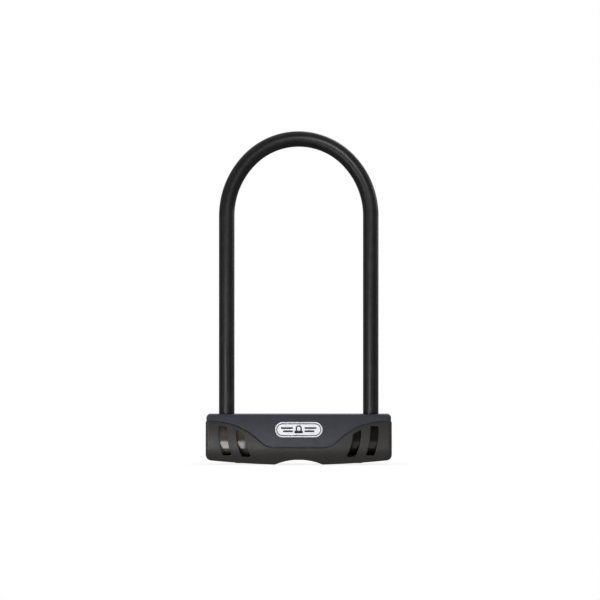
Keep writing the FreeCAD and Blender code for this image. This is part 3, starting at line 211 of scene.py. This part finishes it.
def cover_charcoal():
    return moulded_plastic("cover_charcoal", (0.068, 0.0635, 0.062), (0.1, 0.095, 0.092), 0.33)


def vinyl():
    """Soft black vinyl: long drawing lines, faint clouds and a few scuffs."""
    black, clouded, scuffed = (0.014, 0.0135, 0.0145), (0.024, 0.023, 0.0235), (0.055, 0.053, 0.052)
    look = Look("vinyl_black", black, 0.36)
    look.put(look.shader, "Specular IOR Level", 0.4)
    clouds = look.noise(14.0, detail=4.0)
    drawn = look.noise(0.9, detail=2.0, stretch=(1, 1, 0.03))
    specks = look.noise(0.7, detail=1.0)
    look.tint(look.ramp(clouds, 0.45, 0.8), clouded)
    look.tint(look.ramp(specks, 0.72, 0.78), scuffed)
    look.gloss(clouds, 0.3, 0.42)
    return look.relief(drawn, 0.004).relief(look.noise(0.35), 0.0015)


def black_enamel():
    """The glossy black coat on the case: warm dust and upright wiping marks."""
    black, dusty, smeared = (0.02, 0.0165, 0.014), (0.034, 0.027, 0.022), (0.045, 0.039, 0.034)
    look = Look("case_black", black, 0.28)
    look.put(look.shader, "Specular IOR Level", 0.25)
    dust = look.noise(3.0, detail=6.0)
    wiped = look.noise(0.7, detail=3.0, stretch=(1, 1, 0.06))
    look.tint(look.ramp(dust, 0.5, 0.8), dusty)
    look.tint(look.ramp(wiped, 0.58, 0.75), smeared)
    look.gloss(wiped, 0.13, 0.24)
    return look.relief(wiped, 0.004)


def steel(name, colour, roughness, stretch):
    """Ground steel: fine lines along the least stretched way, and a few darker stains."""
    look = Look(name, colour, roughness, metallic=1.0)
    lines = look.noise(0.25, detail=3.0, stretch=stretch)
    stains = look.noise(5.0, detail=5.0)
    look.tint(look.ramp(stains, 0.5, 0.75), scaled(colour, 0.62))
    look.tint(look.ramp(lines, 0.55, 0.8), scaled(colour, 1.25))
    look.gloss(lines, roughness - 0.08, roughness + 0.1)
    return look.relief(lines, 0.008)


def cast_zinc():
    """Bare cast zinc: flow marks and a slightly lumpy skin."""
    look = Look("cast_zinc", (0.40, 0.41, 0.43), 0.5, metallic=1.0)
    flow = look.noise(2.5, detail=6.0)
    look.tint(look.ramp(flow, 0.45, 0.7), (0.27, 0.28, 0.30))
    look.gloss(flow, 0.4, 0.62)
    return look.relief(look.noise(0.5, detail=4.0), 0.03)


def turned_brass():
    """Brass with rings left by the lathe and a brown bloom."""
    look = Look("brass", (0.60, 0.40, 0.15), 0.3, metallic=1.0)
    rings = look.noise(0.22, detail=2.0, stretch=(0.02, 0.02, 1))
    bloom = look.noise(2.2, detail=5.0)
    look.tint(look.ramp(bloom, 0.48, 0.75), (0.36, 0.21, 0.08))
    look.gloss(rings, 0.24, 0.4)
    return look.relief(rings, 0.01)


def satin_silver():
    """The badge: brushed along its length, with darker grime in the brushing."""
    look = Look("badge_silver", (0.86, 0.87, 0.93), 0.34, metallic=0.15)
    brushed = look.noise(0.3, detail=3.0, stretch=(0.05, 1, 1))
    look.tint(look.ramp(brushed, 0.45, 0.75), (0.76, 0.77, 0.83))
    look.tint(look.edges(0.2), (0.86, 0.86, 0.9))
    look.gloss(brushed, 0.3, 0.42)
    return look.relief(brushed, 0.006)


def badge_ink():
    """The dark paint on the badge's raised marks, thin in places."""
    look = Look("badge_ink", (0.035, 0.037, 0.043), 0.42)
    look.tint(look.ramp(look.noise(1.2, detail=4.0), 0.45, 0.75), (0.065, 0.067, 0.075))
    return look.relief(look.noise(0.3), 0.008)


def rubber():
    """Matt black rubber with a grey bloom."""
    look = Look("seal_rubber", (0.02, 0.02, 0.02), 0.65)
    look.tint(look.ramp(look.noise(1.5, detail=5.0), 0.5, 0.8), (0.045, 0.044, 0.042))
    return look.relief(look.noise(0.25), 0.015)


LOOKS = {
    "vinyl_black": vinyl(),
    "cover_slate": cover_slate(),
    "cover_charcoal": cover_charcoal(),
    "badge_silver": satin_silver(),
    "case_black": black_enamel(),
    "hardened_steel": steel("hardened_steel", (0.36, 0.36, 0.37), 0.36, (1, 1, 0.04)),
    "bright_steel": steel("bright_steel", (0.56, 0.56, 0.57), 0.28, (0.06, 1, 1)),
    "sintered_steel": steel("sintered_steel", (0.25, 0.25, 0.26), 0.5, (1, 1, 1)),
    "cast_zinc": cast_zinc(),
    "brass": turned_brass(),
    "seal_rubber": rubber(),
}


def dress(piece, look):
    piece.data.materials.clear()
    piece.data.materials.append(look.material)


def dress_cad_nodes():
    """Gives each CAD node the finish of its slot in the record."""
    slots = {row["node"]: row["material_slot"] for row in record["subparts"]}
    for name, piece in frame["nodes"].items():
        dress(piece, LOOKS[slots[name]])


dress_cad_nodes()


# ---- meshes ---------------------------------------------------------------------------------


def add_mesh(name, points, faces, smooth=True):
    mesh = bpy.data.meshes.new(name)
    mesh.from_pydata([tuple(p) for p in points], [], faces)
    mesh.validate()
    if smooth:
        mesh.shade_smooth()
    piece = bpy.data.objects.new(name, mesh)
    bpy.context.scene.collection.objects.link(piece)
    return piece


def make_piece(name, points, faces, slot, body="crossbar", smooth=True, look=None):
    """A new piece from points and faces, which rides on a body."""
    piece = add_mesh(name, points, faces, smooth)
    dress(piece, look or LOOKS[slot])
    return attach(piece, body)


def join_rings(rings, closed=False):
    """Points and faces of a skin over rings with equal numbers of points."""
    size = len(rings[0])
    points = [p for ring in rings for p in ring]
    faces = []
    count = len(rings) if closed else len(rings) - 1
    for i in range(count):
        here, there = i * size, (i + 1) % len(rings) * size
        for k in range(size):
            after = (k + 1) % size
            faces.append((here + k, here + after, there + after, there + k))
    return points, faces


# ---- shackle sleeve -------------------------------------------------------------------------

LEG = next(m for m in record["mounts"] if m["name"] == "right_leg")
LEG_X = LEG["pos_m"][0]
SLEEVE_RADIUS = LEG["dims"]["r_mm"] * MM
SLEEVE_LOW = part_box("shackle_sleeve")[0].z
CROWN_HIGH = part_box("shackle_sleeve")[1].z
BAR_RADIUS = 6.02 * MM
SHOULDER_RADIUS = 69 * MM
CROWN_RADIUS = 59 * MM
LEG_STEPS = 60
SHOULDER_STEPS = 36
CROWN_STEPS = 32
RING_POINTS = 56

# How far each ring of a lip is from the sleeve's end, and how far it stands proud, in mm.
LIP = [(0.0, -0.30), (0.06, -0.12), (0.2, -0.02), (0.45, 0.03), (1.2, 0.05), (2.4, 0.0)]


def bend(centre_x, centre_z, radius, angles):
    """Stations round a bend: each is a point and how far the bar has turned over from upright."""
    for angle in angles:
        offset = Vector((-math.cos(angle), 0, math.sin(angle))) * radius
        yield Vector((centre_x, 0, centre_z)) + offset, angle


def shackle_centreline():
    """Stations along the sleeve: leg, shoulder, crown, shoulder, leg."""
    shoulder_x = SHOULDER_RADIUS - LEG_X
    swing = math.acos(shoulder_x / (SHOULDER_RADIUS - CROWN_RADIUS))
    crown_z = CROWN_HIGH - SLEEVE_RADIUS - CROWN_RADIUS
    shoulder_z = crown_z - (SHOULDER_RADIUS - CROWN_RADIUS) * math.sin(swing)
    leg_step = (shoulder_z - SLEEVE_LOW) / LEG_STEPS
    shoulder_turns = [swing * i / SHOULDER_STEPS for i in range(SHOULDER_STEPS)]
    crown_turns = [swing + (TURN / 4 - swing) * i / CROWN_STEPS for i in range(CROWN_STEPS + 1)]
    half = [(Vector((-LEG_X, 0, SLEEVE_LOW + leg_step * i)), 0.0) for i in range(LEG_STEPS)]
    half += bend(shoulder_x, shoulder_z, SHOULDER_RADIUS, shoulder_turns)
    half += bend(0, crown_z, CROWN_RADIUS, crown_turns)
    other = [(Vector((-p.x, 0, p.z)), TURN / 2 - angle) for p, angle in reversed(half[:-1])]
    return half + other


def ring_at(spot, angle, radius, push=0.0):
    """A circle round the bar at a station, pushed along the bar."""
    along = Vector((math.sin(angle), 0, math.cos(angle)))
    outward = Vector((-math.cos(angle), 0, math.sin(angle)))
    forward = Vector((0, -1, 0))
    centre = spot + along * push
    turns = [TURN * k / RING_POINTS for k in range(RING_POINTS)]
    return [centre + (outward * math.cos(a) + forward * math.sin(a)) * radius for a in turns]


def build_sleeve():
    """The vinyl sleeve: rolled lips, and a faint swell just above each lip."""
    line = shackle_centreline()
    start, end = line[0], line[-1]
    outer = [ring_at(*start, SLEEVE_RADIUS + proud * MM, push * MM) for push, proud in LIP]
    outer += [ring_at(*station, SLEEVE_RADIUS) for station in line[1:-1]]
    outer += [ring_at(*end, SLEEVE_RADIUS + proud * MM, -push * MM) for push, proud in reversed(LIP)]
    inner = [ring_at(*station, BAR_RADIUS) for station in line]
    points, faces = join_rings(outer + inner[::-1], closed=True)
    sleeve = make_piece("vinyl_sleeve", points, faces, "vinyl_black", body="shackle")
    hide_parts("shackle_sleeve")


build_sleeve()


# ---- leg seals ------------------------------------------------------------------------------

SEAL_POINTS = 64
SEAL_BORE = BAR_RADIUS + 0.02 * MM

# A seal's section, foot to top outside and top to foot inside. Each pair is a distance in mm,
# in from the outside or out from the bore, and a share of the seal's height.
SEAL_OUTSIDE = [(0, 0), (0, 0.3), (0.12, 0.38), (0.12, 0.52), (0, 0.6), (0, 0.93), (0.08, 0.98), (0.2, 1)]
SEAL_INSIDE = [(0.28, 1), (0.06, 0.97), (0, 0.9), (0.3, 0.62), (0.3, 0.42), (0, 0.22), (0.1, 0.06), (0.3, 0)]


def build_seal(name):
    """A rubber wiper ring: a grooved body and two soft lips that close on the bar."""
    low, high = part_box(name)
    centre, radius, height = (low + high) / 2, (high.x - low.x) / 2, high.z - low.z
    profile = [(radius - inset * MM, share * height) for inset, share in SEAL_OUTSIDE]
    profile += [(SEAL_BORE + gap * MM, share * height) for gap, share in SEAL_INSIDE]
    turns = [TURN * k / SEAL_POINTS for k in range(SEAL_POINTS)]
    rings = []
    for reach, rise in profile:
        foot = Vector((centre.x, 0, low.z + rise))
        rings.append([foot + Vector((math.cos(a), math.sin(a), 0)) * reach for a in turns])
    points, faces = join_rings(rings, closed=True)
    seal = make_piece(name.replace("leg_seal", "wiper_ring"), points, faces, "seal_rubber")
    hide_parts(name)


build_seal("left_leg_seal")
build_seal("right_leg_seal")


# ---- badge marks ----------------------------------------------------------------------------

BADGE_LEAN = math.radians(7.19)
BADGE_THICK = 1.13 * MM
FIELD_DEPTH = 0.3 * MM
BADGE_HALF_HEIGHT = 6.5 * MM
BADGE_CORNER = 6.45 * MM

MARK_FOOT = -0.02 * MM
MARK_HEIGHT = 0.22 * MM
MARK_CHAMFER = 0.06 * MM

BORDER_INSET = 1.45 * MM
BORDER_WIDTH = 0.7 * MM

ARCH_HALF = 2.0 * MM
ARCH_LOW = -0.6 * MM
ARCH_SHOULDER = 1.2 * MM
ARCH_WIDTH = 1.15 * MM
BASE_HALF = 2.6 * MM
BASE_LEVEL = -2.0 * MM
BASE_WIDTH = 2.3 * MM

BAR_LEVEL = 1.35 * MM
BAR_WIDTH = 1.5 * MM
BAR_NEAR = 5.6 * MM
UPPER_BAR_FAR = 14.6 * MM
LOWER_BAR_FAR = 12.8 * MM


def badge_place():
    """Takes the badge's field, X along it, Y up it and Z out of it, to its place on the cover."""
    low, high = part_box("badge")
    across = Vector((1, 0, 0))
    up = Vector((0, math.sin(BADGE_LEAN), math.cos(BADGE_LEAN)))
    out = Vector((0, -math.cos(BADGE_LEAN), math.sin(BADGE_LEAN)))
    origin = (low + high) / 2 + out * (BADGE_THICK / 2 - FIELD_DEPTH)
    return Matrix.Translation(origin) @ Matrix((across, up, out)).transposed().to_4x4()


def sides(spots, width, closed=False):
    """The left and the right side of a line of this width."""
    spots = [Vector(spot) for spot in spots]
    count = len(spots)
    left, right = [], []
    for i, spot in enumerate(spots):
        before = spots[i - 1] if (i or closed) else spot
        after = spots[(i + 1) % count] if (i < count - 1 or closed) else spot
        ahead = (after - before).normalized()
        arm = Vector((-ahead.y, ahead.x)) * width / 2
        left.append(spot + arm)
        right.append(spot - arm)
    return left, right


def cap(centre, start, steps=8):
    """A half circle round an open line's end, turning left from one side to the other."""
    arm = start - centre
    turns = [Matrix.Rotation(math.pi * k / steps, 2) for k in range(1, steps)]
    return [centre + turn @ arm for turn in turns]


def outline_of(spots, width):
    """The outline of an open line with round ends."""
    left, right = sides(spots, width)
    first, last = Vector(spots[0]), Vector(spots[-1])
    return right + cap(last, right[-1]) + left[::-1] + cap(first, left[0])


def at_height(ring, height):
    return [Vector((p.x, p.y, height)) for p in ring]


def mark_levels(width):
    """The widths and heights of a raised line: its foot, its chamfer and its top."""
    top_width, shoulder = width - 2 * MARK_CHAMFER, MARK_HEIGHT - MARK_CHAMFER
    return (width, MARK_FOOT), (width, shoulder), (top_width, MARK_HEIGHT)


def open_mark(spots, width):
    """A raised line with round ends and a chamfered top."""
    rings = [at_height(outline_of(spots, w), height) for w, height in mark_levels(width)]
    points, faces = join_rings(rings)
    size = len(rings[0])
    faces.append(tuple(range(size))[::-1])
    faces.append(tuple(len(points) - size + k for k in range(size)))
    return points, faces


def closed_mark(spots, width):
    """A raised line that goes round to the left and joins itself."""
    outer, inner = [], []
    for w, height in mark_levels(width):
        left, right = sides(spots, w, closed=True)
        outer.append(at_height(right, height))
        inner.append(at_height(left, height))
    return join_rings(outer + inner[::-1], closed=True)


def rounded_rectangle(half_x, half_y, corner, steps=8):
    spots = []
    for quarter, (sx, sy) in enumerate(((1, 1), (-1, 1), (-1, -1), (1, -1))):
        for k in range(steps + 1):
            angle = TURN / 4 * (quarter + k / steps)
            x = sx * (half_x - corner) + corner * math.cos(angle)
            y = sy * (half_y - corner) + corner * math.sin(angle)
            spots.append((x, y))
    return spots


def arch(half_width, low, shoulder, steps=16):
    """An upside-down U: up one leg, over a half circle and down the other."""
    spots = [(-half_width, low)]
    for k in range(steps + 1):
        angle = math.pi - math.pi * k / steps
        spots.append((half_width * math.cos(angle), shoulder + half_width * math.sin(angle)))
    return spots + [(half_width, low)]


def bars(side):
    """Two bars beside the pictogram, the upper one reaching further out."""
    for level, far in ((BAR_LEVEL, UPPER_BAR_FAR), (-BAR_LEVEL, LOWER_BAR_FAR)):
        ends = sorted([(side * BAR_NEAR, level), (side * far, level)])
        yield open_mark(ends, BAR_WIDTH)


def badge_marks():
    """A border line, and a pictogram of a shackle lock between pairs of bars."""
    low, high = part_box("badge")
    half_x = (high.x - low.x) / 2 - BORDER_INSET
    half_y = BADGE_HALF_HEIGHT - BORDER_INSET
    border = rounded_rectangle(half_x, half_y, BADGE_CORNER - BORDER_INSET)
    yield "badge_border", closed_mark(border, BORDER_WIDTH)
    yield "badge_arch", open_mark(arch(ARCH_HALF, ARCH_LOW, ARCH_SHOULDER), ARCH_WIDTH)
    yield "badge_crossbar", open_mark([(-BASE_HALF, BASE_LEVEL), (BASE_HALF, BASE_LEVEL)], BASE_WIDTH)
    for side, word in ((-1, "left"), (1, "right")):
        for row, mark in enumerate(bars(side), 1):
            yield f"badge_bar_{word}_{row}", mark


def build_badge_marks():
    place, ink = badge_place(), badge_ink()
    for name, (points, faces) in badge_marks():
        make_piece(name, [place @ p for p in points], faces, "badge_silver", smooth=False, look=ink)


build_badge_marks()


# ---- studio: lengths here are in metres -----------------------------------------------------

FLOOR_LEVEL = cad_bounds[0].z
FLOOR_HALF = 3.0
SWEEP_START = 1.0
SWEEP_RADIUS = 0.8
SWEEP_STEPS = 24
WALL_TOP = 3.5
SHADOW_REACH = 0.025
SHADOW_GLOW = 0.85

UP_AND_BEHIND = (0, 0.7, 0.7)
ROOM_DIM = 0.125
ROOM_BRIGHT = 0.55

CROSSBAR = (0, 0, 0.02)
CROWN = (0, 0, 0.26)
KEY_SPREAD = math.radians(50)
WINDOW_X = 0.065
CARD_Y = -0.065
CARD_LEVEL = 0.001
CARD_WIDTH = 0.036
CARD_DEPTH = 0.09

VIEW_WIDTH = 0.5166
CAMERA_X = 0.00108
CAMERA_HEIGHT = 0.1413
CAMERA_DISTANCE = 3.2
SENSOR_WIDTH = 36
SIGHT_LIMIT = 20


def glowing_white():
    """White that glows, with a painted contact shadow: it darkens only close to the lock."""
    material = bpy.data.materials.new("studio_floor")
    material.use_nodes = True
    nodes = Nodes(material.node_tree)
    nodes.tree.nodes.clear()
    shade = nodes.add("AmbientOcclusion", Distance=SHADOW_REACH)
    shade.samples = 8
    # Painted contact shadow: the glow drops towards SHADOW_GLOW near the lock.
    strength = nodes.ramp(shade.outputs["AO"], low=SHADOW_GLOW)
    glow = nodes.add("Emission", Color=(1, 1, 1, 1), Strength=strength)
    nodes.add("OutputMaterial", Surface=glow.outputs["Emission"])
    return material


def build_floor():
    """A pale floor that sweeps up behind the lock. Only the camera sees it."""
    sweep = [TURN / 4 * k / SWEEP_STEPS for k in range(1, SWEEP_STEPS + 1)]
    profile = [(-FLOOR_HALF, FLOOR_LEVEL), (SWEEP_START, FLOOR_LEVEL)]
    for a in sweep:
        rise = SWEEP_RADIUS * (1 - math.cos(a))
        profile.append((SWEEP_START + SWEEP_RADIUS * math.sin(a), FLOOR_LEVEL + rise))
    profile.append((SWEEP_START + SWEEP_RADIUS, WALL_TOP))
    points = [Vector((x, y, z)) for y, z in profile for x in (-FLOOR_HALF, FLOOR_HALF)]
    faces = [(2 * i, 2 * i + 1, 2 * i + 3, 2 * i + 2) for i in range(len(profile) - 1)]
    floor = add_mesh("studio_floor", points, faces)
    floor.data.materials.append(glowing_white())
    floor.visible_glossy = False
    floor.visible_diffuse = False
    floor.visible_shadow = False


def build_world():
    """White to the camera. To everything else, a room dim in front and bright above and behind."""
    world = bpy.data.worlds.new("room")
    bpy.context.scene.world = world
    world.use_nodes = True
    nodes = Nodes(world.node_tree)
    background = nodes.tree.nodes["Background"]
    nodes.put(background, "Color", (1, 1, 1, 1))
    facing = nodes.dot(nodes.add("TexCoord").outputs["Generated"], UP_AND_BEHIND)
    room = nodes.ramp(facing, 0.1, 0.9, ROOM_DIM, ROOM_BRIGHT)
    seen = nodes.add("LightPath").outputs["Is Camera Ray"]
    nodes.put(background, "Strength", nodes.ramp(seen, low=room))


def softbox(name, place, aim, width, height, watts):
    """An oblong area light of this many metres, aimed at a point."""
    light = bpy.data.lights.new(name, "AREA")
    light.shape = "RECTANGLE"
    light.size = width
    light.size_y = height
    light.energy = watts
    lamp = bpy.data.objects.new(name, light)
    lamp.location = place
    lamp.rotation_euler = (Vector(aim) - Vector(place)).to_track_quat("-Z", "Y").to_euler()
    bpy.context.scene.collection.objects.link(lamp)
    return lamp


def light_only(lamp, pieces):
    """Keeps a light off everything but these pieces."""
    lit = bpy.data.collections.new(f"lit_by_{lamp.name}")
    for piece in pieces:
        lit.objects.link(piece)
    lamp.light_linking.receiver_collection = lit


def window_card(word, x, watts):
    """A small card lying in front of the windows at one end, seen only as a shine on the case."""
    place, above = (x, CARD_Y, CARD_LEVEL), (x, CARD_Y, 1)
    card = softbox(f"{word}_window_card", place, above, CARD_WIDTH, CARD_DEPTH, watts)
    card.data.diffuse_factor = 0.0
    light_only(card, [frame["nodes"]["lock_case"]])


def build_lights():
    """A low key, a light each for the crown and the badge, two side fills, a rim and two cards.

    The key passes the case by, which leaves it dark behind the tops of the windows.
    """
    case = frame["nodes"]["lock_case"]
    key = softbox("key_box", (-0.31, -0.95, -0.05), CROSSBAR, 0.56, 0.26, 0.27)
    key.data.spread = KEY_SPREAD
    light_only(key, [p for p in bpy.data.objects if p.type == "MESH" and p != case])
    high = softbox("crown_box", (0.33, -1.5, 0.8), CROWN, 0.4, 0.4, 9)
    light_only(high, [bpy.data.objects["vinyl_sleeve"]])
    bright = softbox("badge_box", (0.2, -1.5, 0.9), CROSSBAR, 0.4, 0.4, 15)
    light_only(bright, [frame["nodes"]["badge"]])
    softbox("left_box", (-1.5, -0.9, 0.4), CROSSBAR, 0.8, 1.2, 1.2)
    softbox("right_strip", (1.3, 0.55, 0.5), CROWN, 0.12, 0.7, 2)
    softbox("rim_box", (0.5, 1.4, 1.2), CROSSBAR, 0.7, 0.7, 4)
    window_card("left", -WINDOW_X, 0.15)
    window_card("right", WINDOW_X, 0.012)


def build_camera():
    """Square on to the front from far off, so the lens barely narrows anything."""
    camera = bpy.data.cameras.new("camera")
    camera.sensor_width = SENSOR_WIDTH
    camera.lens = SENSOR_WIDTH * CAMERA_DISTANCE / VIEW_WIDTH
    camera.clip_end = SIGHT_LIMIT
    eye = bpy.data.objects.new("camera", camera)
    eye.location = (CAMERA_X, -CAMERA_DISTANCE, FLOOR_LEVEL + CAMERA_HEIGHT)
    eye.rotation_euler = (TURN / 4, 0, 0)
    bpy.context.scene.collection.objects.link(eye)
    bpy.context.scene.camera = eye


build_floor()
build_world()
build_lights()
build_camera()
bpy.context.scene.view_settings.view_transform = "Standard"
